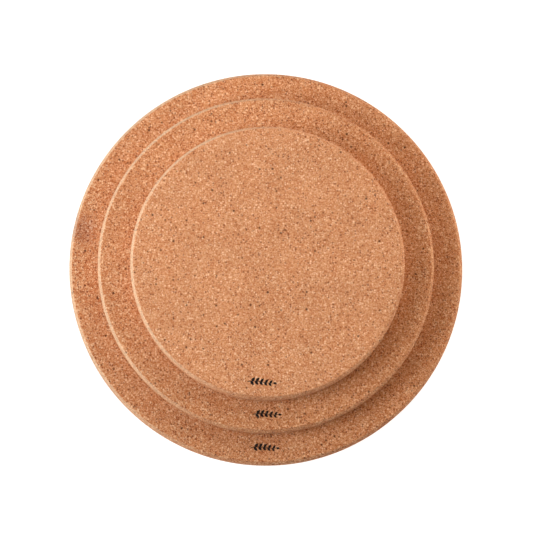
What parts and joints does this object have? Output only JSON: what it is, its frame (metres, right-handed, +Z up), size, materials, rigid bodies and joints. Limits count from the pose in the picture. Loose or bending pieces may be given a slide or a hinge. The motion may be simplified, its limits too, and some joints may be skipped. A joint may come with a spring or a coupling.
{
  "type": "round cork board set",
  "caption": "Graded round cork boards stacked loose on one axis, largest at the bottom, for use as trivets, table mats or small pin boards.",
  "frame": {"origin": "middle of the large board's underside, on the boards' shared axis", "axes": "+Z up along the boards' shared axis; -Y is the side that carries the small printed marks, +X is to the right of the marks as they are read"},
  "size_m": [0.29, 0.29, 0.0606],
  "materials": {
    "cork": "matte",
    "print_ink": "matte"
  },
  "bodies": {
    "large_board": {"large_board": "cork"},
    "medium_board": {"medium_board": "cork"},
    "small_board": {"small_board": "cork"}
  },
  "joints": [
    {"name": "medium_board_lift", "type": "slide", "parent": "large_board", "child": "medium_board", "axis": [0, 0, 1], "range_m": [0, 0.08]},
    {"name": "small_board_lift", "type": "slide", "parent": "medium_board", "child": "small_board", "axis": [0, 0, 1], "range_m": [0, 0.08]}
  ]
}
